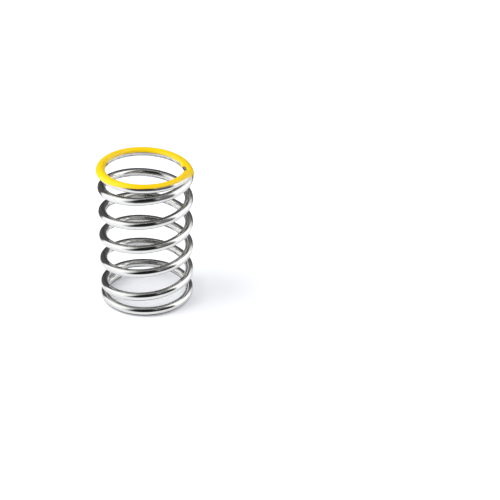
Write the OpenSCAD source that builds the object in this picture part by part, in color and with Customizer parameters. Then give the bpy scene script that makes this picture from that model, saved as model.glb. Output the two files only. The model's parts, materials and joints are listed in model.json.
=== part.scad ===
// Helical compression spring, cold coiled from one round wire, with closed ends that are not ground.
// The coil stands on its lower end turn: z = 0 is the seat under that turn, and the coil's axis is Z.
// It is wound right-handed: seen from above, the wire climbs counter-clockwise.

/* [Wire] */
// Diameter of the round spring wire
wire_d = 1.5; // [1.3:0.05:1.7]
// Width of the broken edge round each cut end of the wire
cut_edge = 0.1; // [0.05:0.01:0.2]

/* [Coil] */
// Inner diameter of the coil, which slides over the damper body or guide
inner_d = 14; // [12:0.5:18]
// Free length, from the seat under the lower end turn to the top of the upper one
free_length = 26.5; // [24:0.5:28]
// Whole turns from the direction of the lower cut end, before the angle to the upper one is added
whole_turns = 6; // [6:1:8]

/* [Closed ends] */
// Direction in which the lower cut end lies, seen from above and counted from +X
lower_tip_angle = 135; // [90:7.5:180]
// Direction in which the upper cut end lies, counted the same way
upper_tip_angle = 345; // [315:7.5:360]
// Angle over which the wire lies level at each cut end, before it starts to climb
level_angle = 60; // [0:7.5:90]
// Gap between each cut end and the turn that it closes onto
closing_gap = 0.04; // [0.02:0.01:0.1]

/* [Hidden] */

// One turn, in degrees
full_turn = 360;
// Sides of the wire's section, and the angle of coil from one section to the next
wire_sides = 16;
section_step = 7.5;

mean_d = inner_d + wire_d;
wire_r = wire_d / 2;
// Angle of coil from the lower cut end to the upper one
wire_angle = whole_turns * full_turn + upper_tip_angle - lower_tip_angle;
// Height between the wire's centres at the two cut ends
centre_rise = free_length - wire_d;
// Rise over the first turn, which brings the wire round to the top of its own cut end
closed_rise = wire_d + closing_gap;

// After its level stretch the wire's pitch grows evenly from zero to the full pitch over ramp_angle.
// Two conditions set ramp_angle: the rise over the first turn is closed_rise,
// and the rise over the whole wire is centre_rise. Together they give one quadratic equation.
climb_angle = wire_angle - 2 * level_angle;
ramp_angle = (climb_angle
    - sqrt(climb_angle ^ 2 - 2 * centre_rise * (full_turn - level_angle) ^ 2 / closed_rise)) / 2;
// Full pitch, per turn, of the working coils
pitch = full_turn * centre_rise / (climb_angle - ramp_angle);

// Rise of the wire's centre above a cut end, at angle v along the wire from that end
function end_rise(v) =
    v <= level_angle ? 0
    : v <= level_angle + ramp_angle ? pitch * (v - level_angle) ^ 2 / (2 * ramp_angle * full_turn)
    : pitch * (v - level_angle - ramp_angle / 2) / full_turn;

// Pitch at angle v along the wire from the nearer cut end
function end_pitch(v) = pitch * max(0, min(1, (v - level_angle) / ramp_angle));

// Height of the wire's centre at angle v along the wire from the lower cut end
function wire_height(v) = wire_r
    + (v < wire_angle / 2 ? end_rise(v) : centre_rise - end_rise(wire_angle - v));

// Angle at which the wire climbs there
function lead_angle(v) = atan(end_pitch(min(v, wire_angle - v)) / (PI * mean_d));

// Section of radius r, square to the wire at angle v along it: one side points straight out of the coil
function section(v, r) =
    let (
        turn = lower_tip_angle + v,
        lead = lead_angle(v),
        outward = [cos(turn), sin(turn), 0],
        upward = [sin(turn) * sin(lead), -cos(turn) * sin(lead), cos(lead)],
        centre = mean_d / 2 * outward + [0, 0, wire_height(v)]
    )
    [for (side = [0 : wire_sides - 1])
        let (round = side * full_turn / wire_sides)
        centre + r * (cos(round) * outward + sin(round) * upward)];

// Angle of coil that the broken edge of a cut end takes up
edge_angle = full_turn * cut_edge / (PI * mean_d);

// Stations along the wire, as an angle and a radius: the cut ends are narrowed by their broken edge
stations = concat(
    [[0, wire_r - cut_edge], [edge_angle, wire_r]],
    [for (v = [section_step : section_step : wire_angle - section_step]) [v, wire_r]],
    [[wire_angle - edge_angle, wire_r], [wire_angle, wire_r - cut_edge]]);

// Round bar through all the stations, closed by a flat face at each end
module wire() {
    last = len(stations) - 1;
    points = [for (s = stations) each section(s[0], s[1])];
    // The two triangles between sections i and i + 1 beside each side of the wire
    skin = [for (i = [0 : last - 1], side = [0 : wire_sides - 1])
        let (
            a = i * wire_sides + side,
            b = i * wire_sides + (side + 1) % wire_sides
        )
        each [[a, b, b + wire_sides], [a, b + wire_sides, a + wire_sides]]];
    lower_cut = [for (side = [wire_sides - 1 : -1 : 0]) side];
    upper_cut = [for (side = [0 : wire_sides - 1]) last * wire_sides + side];
    polyhedron(points = points, faces = concat([lower_cut], skin, [upper_cut]), convexity = 10);
}

module coil_spring() {
    color("silver") wire();
}

coil_spring();
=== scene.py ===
"""Looks of the helical spring: bright chromed wire with a painted end turn, in a plain white studio.

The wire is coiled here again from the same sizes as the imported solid, with a round section and fine
steps, and stands for that solid. A thin coat of paint lies on its upper end turn.
"""

import json
import logging
import math
from dataclasses import dataclass
from enum import Enum
from functools import cached_property
from typing import Any

import bmesh
import bpy
from mathutils import Matrix, Vector, noise


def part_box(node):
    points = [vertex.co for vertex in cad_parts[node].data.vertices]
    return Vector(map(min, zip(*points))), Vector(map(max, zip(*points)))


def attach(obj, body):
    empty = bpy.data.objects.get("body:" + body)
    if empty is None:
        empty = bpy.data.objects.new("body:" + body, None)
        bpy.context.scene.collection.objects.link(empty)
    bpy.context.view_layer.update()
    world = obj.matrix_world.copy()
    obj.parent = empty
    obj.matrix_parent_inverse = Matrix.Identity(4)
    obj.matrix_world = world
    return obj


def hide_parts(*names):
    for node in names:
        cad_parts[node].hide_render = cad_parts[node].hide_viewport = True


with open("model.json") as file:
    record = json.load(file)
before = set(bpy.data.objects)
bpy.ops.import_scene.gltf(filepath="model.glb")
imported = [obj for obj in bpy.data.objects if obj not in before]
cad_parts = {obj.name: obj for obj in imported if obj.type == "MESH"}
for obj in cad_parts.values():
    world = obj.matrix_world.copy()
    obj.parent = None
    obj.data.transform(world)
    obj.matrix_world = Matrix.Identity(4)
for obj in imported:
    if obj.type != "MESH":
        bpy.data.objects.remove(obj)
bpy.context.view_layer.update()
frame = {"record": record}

log = logging.getLogger("helical_spring")

MM = 0.001
TURN = math.tau
FULL_CIRCLE = 360.0
NODE = "coil_spring"
BODY = "root"
# Name of the point attribute that holds where a point of the wire lay before the wire was coiled
STRAIGHT = "straight_wire"
# Name of the point attribute that says how much of a studio panel is there
COVER = "cover"


def srgb(code: str) -> tuple[float, float, float, float]:
    """Turns an sRGB hex colour into linear values, by the curve of the sRGB standard.

    Args:
        code: Six hex digits after a hash sign.

    Returns:
        Linear red, green and blue, with an alpha of 1.
    """
    shares = [int(code[i:i + 2], 16) / 255 for i in (1, 3, 5)]
    linear = [s / 12.92 if s <= 0.04045 else ((s + 0.055) / 1.055) ** 2.4 for s in shares]
    return (linear[0], linear[1], linear[2], 1.0)


def add_node(tree: bpy.types.NodeTree, kind: str, settings: dict[str, Any] | None = None,
             inputs: dict[int | str, Any] | None = None) -> bpy.types.Node:
    """Adds one shader node with its settings, values and links.

    Args:
        tree: Node tree that takes the node.
        kind: Blender's name of the node's type.
        settings: Values of the node's own properties.
        inputs: By socket name or number, a value or the output socket that feeds it.

    Returns:
        The new node.
    """
    node = tree.nodes.new(kind)
    for name, value in (settings or {}).items():
        setattr(node, name, value)
    for socket, value in (inputs or {}).items():
        if isinstance(value, bpy.types.NodeSocket):
            tree.links.new(value, node.inputs[socket])
        else:
            node.inputs[socket].default_value = value
    return node


def new_material(name: str) -> tuple[bpy.types.Material, bpy.types.NodeTree, bpy.types.Node]:
    """Makes an empty node material.

    Args:
        name: Name of the material.

    Returns:
        The material, its node tree and its output node.
    """
    material = bpy.data.materials.new(name)
    material.use_nodes = True
    tree = material.node_tree
    tree.nodes.clear()
    return material, tree, tree.nodes.new("ShaderNodeOutputMaterial")


def smooth_step(share: float) -> float:
    """Rises smoothly from 0 to 1 as the share does, and stays there beyond."""
    share = max(0.0, min(1.0, share))
    return share * share * (3 - 2 * share)


def fades(distance: float, full: float, gone: float) -> float:
    """Gives 1 up to the distance called full, and falls smoothly to 0 at the one called gone."""
    return smooth_step((gone - distance) / (gone - full))


@dataclass(frozen=True)
class CoilForm:
    """The coil's sizes in metres and radians, and the line that its wire follows.

    The wire lies level at each cut end, and its pitch then grows evenly to the full pitch. The upper
    end turn lies a little further out than the others: the coil opens between two angles, both
    counted back from the upper cut end.
    """

    wire_radius: float
    mean_radius: float
    free_length: float
    lower_tip: float = math.radians(135)
    upper_tip: float = math.radians(345)
    whole_turns: int = 6
    level: float = math.radians(60)
    closing_gap: float = 0.04 * MM
    opening: float = 0.11 * MM
    opening_from: float = math.radians(560)
    opening_to: float = math.radians(370)

    @cached_property
    def wire_angle(self) -> float:
        """Angle of coil from the lower cut end to the upper one."""
        return self.whole_turns * TURN + self.upper_tip - self.lower_tip

    @cached_property
    def centre_rise(self) -> float:
        """Height between the wire's centres at its two cut ends."""
        return self.free_length - 2 * self.wire_radius

    @cached_property
    def ramp(self) -> float:
        """Works out the angle over which the pitch grows from zero to full.

        The rise over the first turn and the rise over the whole wire are both given, and together
        they make one quadratic equation for it.

        Returns:
            The angle of coil.
        """
        climb = self.wire_angle - 2 * self.level
        closed_rise = 2 * self.wire_radius + self.closing_gap
        inside = climb ** 2 - 2 * self.centre_rise * (TURN - self.level) ** 2 / closed_rise
        return (climb - math.sqrt(inside)) / 2

    @cached_property
    def pitch(self) -> float:
        """Full pitch of the working coils, per turn."""
        return TURN * self.centre_rise / (self.wire_angle - 2 * self.level - self.ramp)

    def end_rise(self, angle: float) -> float:
        """Gives the rise of the wire's centre above a cut end.

        Args:
            angle: Angle of coil from that cut end.

        Returns:
            The rise in metres.
        """
        past = angle - self.level
        if past <= 0:
            return 0.0
        if past <= self.ramp:
            return self.pitch * past ** 2 / (2 * self.ramp * TURN)
        return self.pitch * (past - self.ramp / 2) / TURN

    def height(self, angle: float) -> float:
        """Gives the height of the wire's centre.

        Args:
            angle: Angle of coil from the lower cut end.

        Returns:
            The height in metres.
        """
        if angle < self.wire_angle / 2:
            return self.wire_radius + self.end_rise(angle)
        return self.wire_radius + self.centre_rise - self.end_rise(self.wire_angle - angle)

    def lead(self, angle: float) -> float:
        """Gives the angle at which the wire climbs.

        Args:
            angle: Angle of coil from the lower cut end.

        Returns:
            The angle above the level.
        """
        past = min(angle, self.wire_angle - angle) - self.level
        local_pitch = self.pitch * max(0.0, min(1.0, past / self.ramp))
        return math.atan(local_pitch / (TURN * self.mean_radius))

    def radius(self, angle: float) -> float:
        """Gives the radius at which the wire's centre lies, at an angle from the lower cut end."""
        opened = fades(self.wire_angle - angle, self.opening_to, self.opening_from)
        return self.mean_radius + self.opening * opened

    def axes(self, angle: float) -> tuple[Vector, Vector, Vector, Vector]:
        """Gives the wire's own axes.

        Args:
            angle: Angle of coil from the lower cut end.

        Returns:
            The centre of the section, and unit vectors out of the coil, up across the wire and
            forwards along it.
        """
        turn = self.lower_tip + angle
        lead = self.lead(angle)
        outward = Vector((math.cos(turn), math.sin(turn), 0))
        level_ahead = Vector((-math.sin(turn), math.cos(turn), 0))
        upward = Vector((0, 0, math.cos(lead))) - level_ahead * math.sin(lead)
        centre = outward * self.radius(angle) + Vector((0, 0, self.height(angle)))
        return centre, outward, upward, upward.cross(outward)

    def length(self, angle: float) -> float:
        """Gives the length of wire, in metres, that an angle of coil takes up."""
        return angle * self.mean_radius

    def unwind(self, point: Vector) -> Vector:
        """Finds where a point of the wire lay before the wire was coiled.

        Args:
            point: A point on or near the coiled wire.

        Returns:
            Its place on the straight wire: two coordinates across the section, out of the coil and
            up, and the length along the wire.
        """
        bearing = math.atan2(point.y, point.x) - self.lower_tip
        # The wire passes this bearing once a lap, and the laps go past both of its ends
        laps = range(-1, math.ceil(self.wire_angle / TURN) + 2)
        angle = min((bearing + lap * TURN for lap in laps), key=lambda a: abs(point.z - self.height(a)))
        angle = max(0.0, min(self.wire_angle, angle))
        centre, outward, upward, forward = self.axes(angle)
        arm = point - centre
        return Vector((arm.dot(outward), arm.dot(upward), self.length(angle) + arm.dot(forward)))


def coil_form_from_frame() -> CoilForm:
    """Works out the coil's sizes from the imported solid's box and its seat's inner radius.

    Returns:
        The coil's form.
    """
    low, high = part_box(NODE)
    outer_radius = (high.x - low.x) / 2
    seat = frame["record"]["mounts"][0]
    inner_radius = seat["dims"]["r_mm"] * MM
    wire_radius = (outer_radius - inner_radius) / 2
    return CoilForm(wire_radius, outer_radius - wire_radius, high.z - low.z)


def finish_piece(bm: bmesh.types.BMesh, name: str, material: bpy.types.Material,
                 form: CoilForm | None = None) -> bpy.types.Object:
    """Turns a bmesh into a smooth object at the origin.

    Args:
        bm: The finished bmesh, which is freed.
        name: Name of the piece.
        material: Its material.
        form: The coil, for a piece that takes its pattern along the wire.

    Returns:
        The new object.
    """
    mesh = bpy.data.meshes.new(name)
    bm.to_mesh(mesh)
    bm.free()
    mesh.materials.append(material)
    mesh.shade_smooth()
    if form is not None:
        attribute = mesh.attributes.new(STRAIGHT, "FLOAT_VECTOR", "POINT")
        for vertex, value in zip(mesh.vertices, attribute.data):
            value.vector = form.unwind(vertex.co)
    piece = bpy.data.objects.new(name, mesh)
    bpy.context.scene.collection.objects.link(piece)
    return piece


@dataclass(frozen=True)
class ChromePlate:
    """Bright chrome plate on cold-drawn spring wire.

    The plate mirrors the studio sharply. Under it the die has left fine lines along the wire, which
    blur the mirror image a little, and the surface rolls, which makes the image waver. Real die
    lines are a few thousandths of a millimetre wide, so they are drawn coarser here.
    """

    colour: str = "#DADAD8"
    shaded_colour: str = "#D0D0CE"
    roughness: float = 0.06
    line_width: float = 0.03 * MM
    line_length: float = 4.0 * MM
    line_depth: float = 0.0006 * MM
    roll_length: float = 1.6 * MM
    roll_depth: float = 0.006 * MM

    def material(self) -> bpy.types.Material:
        """Makes the plate's material.

        Returns:
            The material.
        """
        material, tree, output = new_material("bright_chrome_plate")
        straight = add_node(tree, "ShaderNodeAttribute", {"attribute_name": STRAIGHT})
        lines_at = add_node(tree, "ShaderNodeVectorMath", {"operation": "MULTIPLY"}, {
            0: straight.outputs["Vector"],
            1: (1 / self.line_width, 1 / self.line_width, 1 / self.line_length)})
        lines = add_node(tree, "ShaderNodeTexNoise", None, {
            "Vector": lines_at.outputs["Vector"], "Scale": 1.0, "Detail": 2.0})
        roll = add_node(tree, "ShaderNodeTexNoise", None, {
            "Vector": straight.outputs["Vector"], "Scale": 1 / self.roll_length, "Detail": 1.0})
        tint = add_node(tree, "ShaderNodeMix", {"data_type": "RGBA"}, {
            "Factor": lines.outputs["Fac"], "A": srgb(self.colour), "B": srgb(self.shaded_colour)})
        roll_bump = add_node(tree, "ShaderNodeBump", None, {
            "Strength": 1.0, "Distance": self.roll_depth, "Height": roll.outputs["Fac"]})
        line_bump = add_node(tree, "ShaderNodeBump", None, {
            "Strength": 1.0, "Distance": self.line_depth, "Height": lines.outputs["Fac"],
            "Normal": roll_bump.outputs["Normal"]})
        shader = add_node(tree, "ShaderNodeBsdfPrincipled", None, {
            "Base Color": tint.outputs["Result"], "Metallic": 1.0, "Roughness": self.roughness,
            "Normal": line_bump.outputs["Normal"]})
        tree.links.new(shader.outputs["BSDF"], output.inputs["Surface"])
        return material


@dataclass(frozen=True)
class MarkingEnamel:
    """Gloss enamel that is wiped or dipped on as a colour mark, and levels itself as it dries.

    It hides the metal and has a soft shine. Its colour is deeper where it has run thick, and its
    surface ripples a little.
    """

    colour: str = "#FFEA1A"
    thick_colour: str = "#F9BC00"
    roughness: float = 0.14
    ior: float = 1.42
    patch_length: float = 8.0 * MM
    patch_seed: float = 2.0
    ripple_length: float = 0.35 * MM
    ripple_depth: float = 0.004 * MM

    def material(self) -> bpy.types.Material:
        """Makes the enamel's material.

        Returns:
            The material.
        """
        material, tree, output = new_material("gloss_marking_enamel")
        straight = add_node(tree, "ShaderNodeAttribute", {"attribute_name": STRAIGHT})
        patches = add_node(tree, "ShaderNodeTexNoise", {"noise_dimensions": "4D"}, {
            "Vector": straight.outputs["Vector"], "W": self.patch_seed,
            "Scale": 1 / self.patch_length, "Detail": 2.0})
        ripple = add_node(tree, "ShaderNodeTexNoise", None, {
            "Vector": straight.outputs["Vector"], "Scale": 1 / self.ripple_length, "Detail": 1.0})
        tint = add_node(tree, "ShaderNodeMix", {"data_type": "RGBA"}, {
            "Factor": patches.outputs["Fac"], "A": srgb(self.colour), "B": srgb(self.thick_colour)})
        bump = add_node(tree, "ShaderNodeBump", None, {
            "Strength": 1.0, "Distance": self.ripple_depth, "Height": ripple.outputs["Fac"]})
        shader = add_node(tree, "ShaderNodeBsdfPrincipled", None, {
            "Base Color": tint.outputs["Result"], "Roughness": self.roughness, "IOR": self.ior,
            "Normal": bump.outputs["Normal"]})
        tree.links.new(shader.outputs["BSDF"], output.inputs["Surface"])
        return material


@dataclass(frozen=True)
class WhiteBoard:
    """Matt white board under the object, which the camera and the metal see as plain white.

    It lifts what the camera and mirror rays see, so that the board reads as white and still keeps
    the object's shadow.
    """

    colour: str = "#F2F3F7"
    lift: float = 0.25

    def material(self) -> bpy.types.Material:
        """Makes the board's material.

        Returns:
            The material.
        """
        material, tree, output = new_material("matt_white_board")
        board = add_node(tree, "ShaderNodeBsdfDiffuse", None, {"Color": srgb(self.colour)})
        glow = add_node(tree, "ShaderNodeMath", {"operation": "MULTIPLY"}, {
            0: seen_by_eye(tree), 1: self.lift})
        lift = add_node(tree, "ShaderNodeEmission", None, {
            "Color": srgb(self.colour), "Strength": glow.outputs["Value"]})
        both = add_node(tree, "ShaderNodeAddShader", None, {
            0: board.outputs["BSDF"], 1: lift.outputs["Emission"]})
        tree.links.new(both.outputs["Shader"], output.inputs["Surface"])
        return material


def seen_by_eye(tree: bpy.types.NodeTree) -> bpy.types.NodeSocket:
    """Adds nodes that tell camera, glossy and transmission rays from the rays that light things.

    Args:
        tree: Node tree that takes the nodes.

    Returns:
        An output that is 1 for camera, glossy and transmission rays, and 0 for the others.
    """
    path = add_node(tree, "ShaderNodeLightPath")
    straight_or_mirrored = add_node(tree, "ShaderNodeMath", {"operation": "MAXIMUM"}, {
        0: path.outputs["Is Camera Ray"], 1: path.outputs["Is Glossy Ray"]})
    any_of_three = add_node(tree, "ShaderNodeMath", {"operation": "MAXIMUM"}, {
        0: straight_or_mirrored.outputs["Value"], 1: path.outputs["Is Transmission Ray"]})
    return any_of_three.outputs["Value"]


@dataclass
class SpringWire:
    """The wire itself: a round bar that is coiled in small steps, with its two cut ends."""

    form: CoilForm
    finish: ChromePlate
    sides: int = 40
    steps_per_turn: int = 144
    cut_edge: float = 0.09 * MM
    cut_edge_segments: int = 3

    def build(self) -> bpy.types.Object:
        """Coils the wire, closes and breaks its cut ends and dresses it.

        Returns:
            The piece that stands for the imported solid.
        """
        bm = bmesh.new()
        first = self.first_ring(bm)
        last = self.coil(bm, first)
        self.cut_ends(bm, first, last)
        bmesh.ops.recalc_face_normals(bm, faces=bm.faces)
        piece = finish_piece(bm, "chromed_wire", self.finish.material(), self.form)
        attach(piece, BODY)
        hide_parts(NODE)
        return piece

    def first_ring(self, bm: bmesh.types.BMesh) -> list[bmesh.types.BMEdge]:
        """Places a circle, the wire's section, at the lower cut end.

        Args:
            bm: The bmesh that takes it.

        Returns:
            The circle's edges.
        """
        centre, outward, upward, forward = self.form.axes(0.0)
        place = Matrix((outward, upward, -forward)).transposed().to_4x4()
        place.translation = centre
        bmesh.ops.create_circle(bm, segments=self.sides, radius=self.form.wire_radius, matrix=place)
        return list(bm.edges)

    def coil(self, bm: bmesh.types.BMesh, ring: list[bmesh.types.BMEdge]) -> list[bmesh.types.BMEdge]:
        """Spins the section into a flat coil, then lifts and tilts each step to its place.

        Args:
            bm: The bmesh that holds the ring.
            ring: Edges of the section at the lower cut end.

        Returns:
            Edges of the section at the upper cut end.
        """
        form = self.form
        steps = math.ceil(form.wire_angle / TURN * self.steps_per_turn)
        spun = bmesh.ops.spin(bm, geom=ring, cent=(0, 0, 0), axis=(0, 0, 1), dvec=(0, 0, 0),
                              angle=form.wire_angle, steps=steps, use_duplicate=False)
        # The spin adds its sections in order, so each step's points follow those of the one before
        verts = list(bm.verts)
        for step in range(steps + 1):
            angle = form.wire_angle * step / steps
            centre, outward, _, _ = form.axes(angle)
            flat_centre = outward * form.mean_radius + Vector((0, 0, form.wire_radius))
            tilt = Matrix.Rotation(form.lead(angle), 3, outward)
            for vertex in verts[step * self.sides:(step + 1) * self.sides]:
                vertex.co = centre + tilt @ (vertex.co - flat_centre)
        return [part for part in spun["geom_last"] if isinstance(part, bmesh.types.BMEdge)]

    def cut_ends(self, bm: bmesh.types.BMesh, first: list[bmesh.types.BMEdge],
                 last: list[bmesh.types.BMEdge]) -> None:
        """Closes both ends with a flat face and breaks the edge round it.

        Args:
            bm: The bmesh of the wire.
            first: Edges of the lower cut end.
            last: Edges of the upper cut end.
        """
        for ring in (first, last):
            bmesh.ops.contextual_create(bm, geom=ring)
        bmesh.ops.bevel(bm, geom=[*first, *last], offset=self.cut_edge, segments=self.cut_edge_segments,
                        profile=0.5, affect="EDGES", material=-1)


def wander(place: float, seed: float, finer: float = 2.7, share: float = 0.5,
           layer: float = 5.0) -> float:
    """Gives a smooth wavering value, from about -1 to 1, that is the same in each run.

    Args:
        place: Place along the wave, which turns about once per unit.
        seed: Which wave it is.
        finer: How much shorter the second wave is that is laid over the first.
        share: How high the second wave is, as a share of the first.
        layer: Where in the noise the second wave is taken from.

    Returns:
        The value at that place.
    """
    coarse = noise.noise(Vector((place, seed, 0.0)))
    return coarse + share * noise.noise(Vector((place * finer, seed, layer)))


def rounded(share: float) -> float:
    """Rounds off the rim of the coat: 0 at its edge, and 1 from one rim width inwards."""
    inside = 1 - max(0.0, min(1.0, share))
    return math.sqrt(1 - inside ** 2)


@dataclass(frozen=True)
class Swell:
    """A change of one edge of the coat about a place, with all its angles in degrees.

    It is full up to one distance either side of that place, and gone from a greater distance on.
    """

    amount: float
    place: float
    full: float
    gone: float

    def near(self, place: float) -> float:
        """Gives the change at a place, both in radians."""
        distance = abs(math.degrees(place) - self.place)
        return math.radians(self.amount) * fades(distance, self.full, self.gone)


@dataclass(frozen=True)
class PaintEdges:
    """The two long edges of the coat of paint, as angles round the wire's section.

    They are counted from straight out of the coil, over the top of the wire. Both sway. The coat
    lies further out on the wire where it starts, and near there its inner edge reaches further
    round the wire: that paint is a painted reflection, put where the chrome mirrors the painted cut
    end. Further on, its outer edge hangs lower at one side of the coil and lies higher at the
    front. At the tip both edges reach further round the wire, and over the cut face they meet under it.
    """

    outer: float = math.radians(24)
    inner: float = math.radians(164)
    # How far the edges sway, how many waves they take in a radian of coil, and which waves
    sway: float = math.radians(6)
    outer_waves: float = 2.1
    outer_seed: float = 11.0
    inner_waves: float = 2.6
    inner_seed: float = 23.0
    # Changes placed by their angle of coil from the coat's start
    start_outer: Swell = Swell(amount=-24, place=0, full=0, gone=50)
    start_inner: Swell = Swell(amount=-46, place=0, full=0, gone=50)
    # Painted reflection: paint put where the chrome would mirror the painted cut end
    painted_reflection_inner: Swell = Swell(amount=50, place=27, full=0, gone=7)
    # Changes placed by their bearing
    side_outer: Swell = Swell(amount=-32, place=190, full=16.5, gone=71.5)
    front_outer: Swell = Swell(amount=8, place=284, full=12.8, gone=44.8)
    # The two edges at the tip, the last stretch over which they get there, and the two over the face
    tip: tuple[float, float] = (math.radians(-35), math.radians(215))
    tip_wrap: float = math.radians(14)
    over_face: tuple[float, float] = (math.radians(-90), math.radians(270))

    def at(self, form: CoilForm, angle: float, from_start: float, closed: float) -> tuple[float, float]:
        """Gives both edges at one place along the coat.

        Args:
            form: The coil.
            angle: Angle of coil from the lower cut end.
            from_start: Angle of coil from the coat's start.
            closed: How far the coat has closed over the cut face, from 0 to 1.

        Returns:
            The outer edge and the inner one.
        """
        bearing = (form.lower_tip + angle) % TURN
        outer = self.outer + self.sway * wander(angle * self.outer_waves, self.outer_seed)
        outer += self.start_outer.near(from_start)
        outer += self.side_outer.near(bearing) + self.front_outer.near(bearing)
        inner = self.inner + self.sway * wander(angle * self.inner_waves, self.inner_seed)
        inner += self.start_inner.near(from_start) + self.painted_reflection_inner.near(from_start)
        wrapped = fades(form.wire_angle - angle, 0, self.tip_wrap)
        for goal, share in ((self.tip, wrapped), (self.over_face, closed)):
            outer += (goal[0] - outer) * share
            inner += (goal[1] - inner) * share
        return outer, inner


@dataclass
class PaintCoat:
    """Coat of enamel over the top and the outside of the upper end turn, and over its cut face.

    It is one grid of rows along the wire and columns round it. The last rows lie on the cut face
    and shrink to its middle. The rim is rounded, and its edge dips under the metal's surface.
    """

    form: CoilForm
    finish: MarkingEnamel
    edges: PaintEdges = PaintEdges()
    thickness: float = 0.10 * MM
    buried: float = 0.03 * MM
    rim_width: float = 0.16 * MM
    length: float = math.radians(347)
    # The ragged line at which the coat starts, and the power by which it smooths out along the wire
    ragged: float = math.radians(4)
    ragged_waves: float = 5.0
    ragged_seed: float = 3.0
    ragged_fall: int = 8
    # Share of the way over the cut face at which the coat has closed round the wire
    closing_share: float = 1 / 3
    merge_distance: float = 0.002 * MM
    rows_along: int = 176
    rows_over_end: int = 10
    columns: int = 36

    def build(self) -> bpy.types.Object:
        """Lays the coat on the wire and dresses it.

        Returns:
            The coat's piece.
        """
        bm = bmesh.new()
        rows = self.rows_along + self.rows_over_end
        bmesh.ops.create_grid(bm, x_segments=rows, y_segments=self.columns, size=0.5)
        for vertex in bm.verts:
            vertex.co = self.place(vertex.co.x + 0.5, vertex.co.y + 0.5)
        bmesh.ops.remove_doubles(bm, verts=bm.verts, dist=self.merge_distance)
        bmesh.ops.recalc_face_normals(bm, faces=bm.faces)
        piece = finish_piece(bm, "colour_mark_enamel", self.finish.material(), self.form)
        # The grid is the coat's outer face, so its wall grows inwards
        wall = piece.modifiers.new("coat", "SOLIDIFY")
        wall.thickness = self.thickness
        wall.offset = -1
        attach(piece, BODY)
        return piece

    def place(self, along: float, across: float) -> Vector:
        """Gives the place of one point of the coat.

        Args:
            along: Share of the coat's rows, from its start on the wire to the middle of the cut face.
            across: Share of its columns, from the outer edge to the inner one.

        Returns:
            The point in the frame.
        """
        form = self.form
        row = along * (self.rows_along + self.rows_over_end)
        on_wire = min(1.0, row / self.rows_along)
        over_end = max(0.0, (row - self.rows_along) / self.rows_over_end)
        from_start = self.length * on_wire
        ragged = self.ragged * wander(across * self.ragged_waves, self.ragged_seed)
        ragged *= (1 - on_wire) ** self.ragged_fall
        angle = form.wire_angle - self.length * (1 - on_wire) + ragged
        closed = smooth_step(over_end / self.closing_share)
        outer, inner = self.edges.at(form, angle, from_start, closed)
        # The columns lie closer together towards both edges, where the rim is round
        spread = (1 - math.cos(math.pi * across)) / 2
        round_wire = outer + (inner - outer) * spread
        to_side = min(spread, 1 - spread) * (inner - outer) * form.wire_radius
        side_cover = max(closed, rounded(to_side / self.rim_width))
        start_cover = rounded(form.length(from_start) / self.rim_width)
        lift = (self.thickness + self.buried) * side_cover * start_cover - self.buried
        centre, outward, upward, forward = form.axes(angle)
        ray = outward * math.cos(round_wire) + upward * math.sin(round_wire)
        radius = (form.wire_radius + lift) * (1 - over_end)
        ahead = lift if over_end > 0 else 0.0
        return centre + ray * radius + forward * ahead


class Tone(Enum):
    """Greys of the studio's felt flags and cloths, and the white of its cards."""

    BLACK = "#242424"
    DARK = "#4A4A4A"
    MIDDLE = "#626262"
    GREY = "#808080"
    WHITE = "#FFFFFF"


def direction(bearing: float, elevation: float) -> Vector:
    """Gives the unit vector towards a bearing, counted from +X, and an elevation, in degrees."""
    turn, rise = math.radians(bearing), math.radians(elevation)
    return Vector((math.cos(turn) * math.cos(rise), math.sin(turn) * math.cos(rise), math.sin(rise)))


@dataclass(frozen=True)
class Flag:
    """A curved panel of felt, or of white card, with soft edges.

    Only mirror rays see it, so it shapes what the metal mirrors and casts no shadow. All its angles
    are in degrees, its bearings are counted from +X, and its distance is from the origin.
    """

    name: str
    bearings: tuple[float, float]
    elevations: tuple[float, float]
    tone: Tone
    feather: float = 12.0
    distance: float = 0.5
    strength: float = 1.0
    degrees_per_step: float = 3.0

    def build(self) -> bpy.types.Object:
        """Bends the panel round the object and gives it its felt.

        Returns:
            The panel.
        """
        bm = bmesh.new()
        across = self.bearings[1] - self.bearings[0]
        rise = self.elevations[1] - self.elevations[0]
        bmesh.ops.create_grid(bm, x_segments=round(across / self.degrees_per_step),
                              y_segments=round(rise / self.degrees_per_step), size=0.5)
        cover = bm.verts.layers.float.new(COVER)
        for vertex in bm.verts:
            x, y = vertex.co.x + 0.5, vertex.co.y + 0.5
            elevation = self.elevations[0] + rise * y
            to_edge = min(y, 1 - y) * rise
            if across < FULL_CIRCLE:
                to_edge = min(to_edge, min(x, 1 - x) * across * math.cos(math.radians(elevation)))
            vertex[cover] = smooth_step(to_edge / self.feather)
            vertex.co = direction(self.bearings[0] + across * x, elevation) * self.distance
        panel = finish_piece(bm, f"flag_{self.name}", felt(self.name, self.tone, self.strength))
        return glossy_only(panel)


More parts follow.
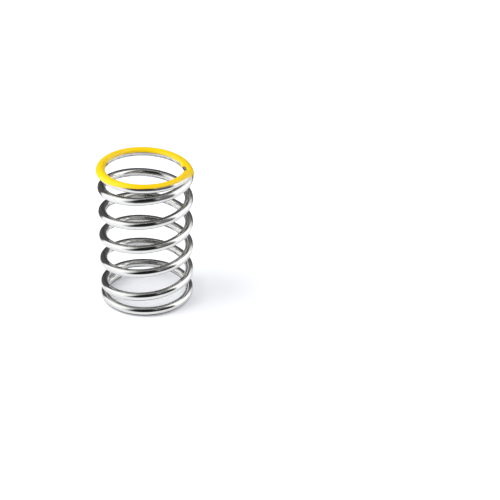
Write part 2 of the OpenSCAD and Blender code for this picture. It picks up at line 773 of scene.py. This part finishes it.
@dataclass(frozen=True)
class TableCloth:
    """A dark sheet on the table, or held level above it. Most are studio cloths; two are painted light.

    Like the flags, it is seen by mirror rays alone. Its near edge and its two sides are soft. Its
    bearings are in degrees, and its reach is counted in metres from the coil's axis.
    """

    name: str
    bearings: tuple[float, float]
    reach: tuple[float, float]
    tone: Tone
    feather: float
    side_feather: float = 12.0
    height: float = 0.3 * MM
    degrees_per_step: float = 3.0
    rings: int = 24

    def build(self) -> bpy.types.Object:
        """Lays the cloth and softens its edges.

        Returns:
            The cloth.
        """
        bm = bmesh.new()
        across = self.bearings[1] - self.bearings[0]
        bmesh.ops.create_grid(bm, x_segments=round(across / self.degrees_per_step),
                              y_segments=self.rings, size=0.5)
        cover = bm.verts.layers.float.new(COVER)
        for vertex in bm.verts:
            x, y = vertex.co.x + 0.5, vertex.co.y + 0.5
            # The rings lie closer together near the object, where the soft edge is
            past_near_edge = (self.reach[1] - self.reach[0]) * y ** 2
            near_cover = smooth_step(past_near_edge / self.feather)
            side_cover = smooth_step(min(x, 1 - x) * across / self.side_feather)
            vertex[cover] = near_cover * side_cover
            vertex.co = direction(self.bearings[0] + across * x, 0) * (self.reach[0] + past_near_edge)
            vertex.co.z = self.height
        cloth = finish_piece(bm, f"cloth_{self.name}", felt(f"cloth_{self.name}", self.tone))
        return glossy_only(cloth)


def felt(name: str, tone: Tone, strength: float = 1.0) -> bpy.types.Material:
    """Makes evenly lit felt or card, which thins out to nothing where its cover ends.

    Args:
        name: What it is for.
        tone: How light it is.
        strength: How strongly it is lit.

    Returns:
        The material.
    """
    material, tree, output = new_material(f"lit_felt_{name}")
    cover = add_node(tree, "ShaderNodeAttribute", {"attribute_name": COVER})
    bare = add_node(tree, "ShaderNodeBsdfTransparent")
    cloth = add_node(tree, "ShaderNodeEmission", None, {
        "Color": srgb(tone.value), "Strength": strength})
    both = add_node(tree, "ShaderNodeMixShader", None, {
        0: cover.outputs["Fac"], 1: bare.outputs["BSDF"], 2: cloth.outputs["Emission"]})
    tree.links.new(both.outputs["Shader"], output.inputs["Surface"])
    return material


def glossy_only(panel: bpy.types.Object) -> bpy.types.Object:
    """Leaves a part of the studio to mirror rays alone.

    Args:
        panel: The panel or cloth.

    Returns:
        The same object.
    """
    for ray in ("camera", "diffuse", "transmission", "volume_scatter", "shadow"):
        setattr(panel, f"visible_{ray}", False)
    return panel


@dataclass(frozen=True)
class Softbox:
    """A large soft lamp that faces the object.

    It lights the board and the paint. The metal doesn't mirror it, because the cards stand there
    in its place. Its bearing and elevation are in degrees, and its power is given in watts per
    square metre.
    """

    name: str
    bearing: float
    elevation: float
    width: float
    height: float
    watts_per_area: float
    distance: float = 0.4

    def build(self) -> bpy.types.Object:
        """Hangs the lamp and sets its power from its area.

        Returns:
            The lamp.
        """
        lamp = bpy.data.lights.new(f"softbox_{self.name}", "AREA")
        lamp.shape = "RECTANGLE"
        lamp.size = self.width
        lamp.size_y = self.height
        lamp.energy = self.width * self.height * self.watts_per_area
        box = bpy.data.objects.new(lamp.name, lamp)
        towards = direction(self.bearing, self.elevation)
        box.location = towards * self.distance
        box.rotation_euler = towards.to_track_quat("Z", "Y").to_euler()
        box.visible_glossy = False
        bpy.context.scene.collection.objects.link(box)
        return box


@dataclass(frozen=True)
class PhotoCamera:
    """Camera at the photograph's place, found by fitting the strands of the coil to it.

    The seat's pixel is where the origin shows, and the focal length is in pixels as well. The
    sensor's width is in millimetres.
    """

    elevation: float = math.radians(29.91)
    roll: float = math.radians(0.77)
    distance: float = 342.7 * MM
    focal_pixels: float = 1863.0
    seat_pixel: tuple[float, float] = (147.3, 292.9)
    frame_pixels: float = 500.0
    sensor: float = 36.0
    nearest: float = 10.0 * MM

    def build(self) -> bpy.types.Object:
        """Places the camera and makes it the scene's own.

        Returns:
            The camera.
        """
        ahead = Vector((0, math.cos(self.elevation), -math.sin(self.elevation)))
        level = Vector((1, 0, 0))
        down = ahead.cross(level)
        right = level * math.cos(self.roll) - down * math.sin(self.roll)
        down = level * math.sin(self.roll) + down * math.cos(self.roll)
        middle = self.frame_pixels / 2
        aside = (self.seat_pixel[0] - middle) / self.focal_pixels
        below = (self.seat_pixel[1] - middle) / self.focal_pixels
        lens = bpy.data.cameras.new("photo_camera")
        lens.sensor_width = self.sensor
        lens.lens = self.focal_pixels / self.frame_pixels * self.sensor
        lens.clip_start = self.nearest
        camera = bpy.data.objects.new("photo_camera", lens)
        place = Matrix((right, -down, -ahead)).transposed().to_4x4()
        place.translation = -(right * aside + down * below + ahead) * self.distance
        camera.matrix_world = place
        bpy.context.scene.collection.objects.link(camera)
        bpy.context.scene.camera = camera
        return camera


@dataclass(frozen=True)
class Studio:
    """White board and two softboxes, with the cards, flags and cloths that the metal mirrors.

    The white cards at both sides give the metal its broad bright bands. The flags in front give it
    the dark streak between them, and the flags and cloths at the back give the turns their dark
    upper edges. Two black sheets are painted light, seen only in the metal: one held level in front
    gives the painted dark reflection under the paint, and one just above the board gives the painted
    shadow line where the lowest turn stands on the board.
    """

    board: WhiteBoard = WhiteBoard()
    board_size: float = 0.7
    ambient: float = 0.36
    softboxes: tuple[Softbox, ...] = (
        Softbox("left", bearing=190, elevation=42, width=0.38, height=0.44, watts_per_area=11.0),
        Softbox("right", bearing=8, elevation=28, width=0.46, height=0.56, watts_per_area=3.8),
    )
    # After its name, each panel's bearings, elevations and tone. A nearer one hides those beyond it
    flags: tuple[Flag, ...] = (
        Flag("left_card", (125, 240), (-20, 96), Tone.WHITE, feather=38, distance=0.44, strength=1.5),
        Flag("right_card", (-26, 44), (-14, 90), Tone.WHITE, feather=14, distance=0.44, strength=1.7),
        Flag("front", (216, 304), (9, 90), Tone.BLACK),
        Flag("front_low", (210, 306), (-7, 30), Tone.MIDDLE, distance=0.51),
        Flag("front_right", (292, 346), (-18, 66), Tone.GREY, distance=0.52),
        Flag("ceiling", (0, FULL_CIRCLE), (54, 90), Tone.MIDDLE, distance=0.54),
        Flag("rear_right", (44, 90), (-20, 46), Tone.MIDDLE, distance=0.15),
        Flag("rear_high", (30, 118), (34, 80), Tone.DARK, distance=0.51),
        Flag("rear_middle", (72, 110), (-24, 46), Tone.DARK, feather=8, distance=0.42),
        Flag("rear_left", (88, 156), (-24, 64), Tone.DARK, distance=0.43, strength=1.5),
    )
    # After its name, each cloth's bearings, reach and tone
    cloths: tuple[TableCloth, ...] = (
        TableCloth("front", (222, 340), (0.1, 0.6), Tone.GREY, feather=0.06),
        # Painted dark reflection: a black sheet above the board that the top turn mirrors under the
        # paint
        TableCloth("painted_dark_line", (240, 338), (0.02, 0.1), Tone.BLACK, feather=0.008, height=18 * MM),
        # Painted shadow: a black sheet on the board that the metal mirrors where the lowest turn stands
        TableCloth("painted_contact_shadow", (90, 450), (6.2 * MM, 8.5 * MM), Tone.BLACK, feather=1.2 * MM,
                   height=0.02 * MM),
        TableCloth("rear_right", (40, 92), (0.012, 0.6), Tone.DARK, feather=0.04),
        TableCloth("rear_left", (86, 158), (0.012, 0.6), Tone.MIDDLE, feather=0.04),
    )

    def build(self) -> None:
        """Sets up the board, the lamps, the panels and the world."""
        bm = bmesh.new()
        bmesh.ops.create_grid(bm, x_segments=1, y_segments=1, size=self.board_size / 2)
        floor = finish_piece(bm, "white_board", self.board.material())
        for part in (*self.softboxes, *self.flags, *self.cloths):
            part.build()
        self.surround()
        bpy.context.scene.view_settings.view_transform = "Standard"
        log.info("studio: %d softboxes, %d flags, %d cloths",
                 len(self.softboxes), len(self.flags), len(self.cloths))

    def surround(self) -> None:
        """Makes a white surround that gives soft light at a lower level than it shows."""
        world = bpy.data.worlds.new("white_surround")
        world.use_nodes = True
        tree = world.node_tree
        tree.nodes.clear()
        output = tree.nodes.new("ShaderNodeOutputWorld")
        white = srgb(Tone.WHITE.value)
        light = add_node(tree, "ShaderNodeBackground", None, {"Color": white, "Strength": self.ambient})
        shown = add_node(tree, "ShaderNodeBackground", None, {"Color": white, "Strength": 1.0})
        mixed = add_node(tree, "ShaderNodeMixShader", None, {
            0: seen_by_eye(tree), 1: light.outputs["Background"], 2: shown.outputs["Background"]})
        tree.links.new(mixed.outputs["Shader"], output.inputs["Surface"])
        bpy.context.scene.world = world


def main() -> None:
    """Builds the studio and the spring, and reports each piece."""
    logging.basicConfig(level=logging.INFO, format="%(name)s: %(message)s")
    PhotoCamera().build()
    Studio().build()
    form = coil_form_from_frame()
    log.info("coil: %.2f turns, full pitch %.2f mm", form.wire_angle / TURN, form.pitch / MM)
    for maker in (SpringWire(form, ChromePlate()), PaintCoat(form, MarkingEnamel())):
        piece = maker.build()
        log.info("%s: %d faces", piece.name, len(piece.data.polygons))


if __name__ == "__main__":
    main()
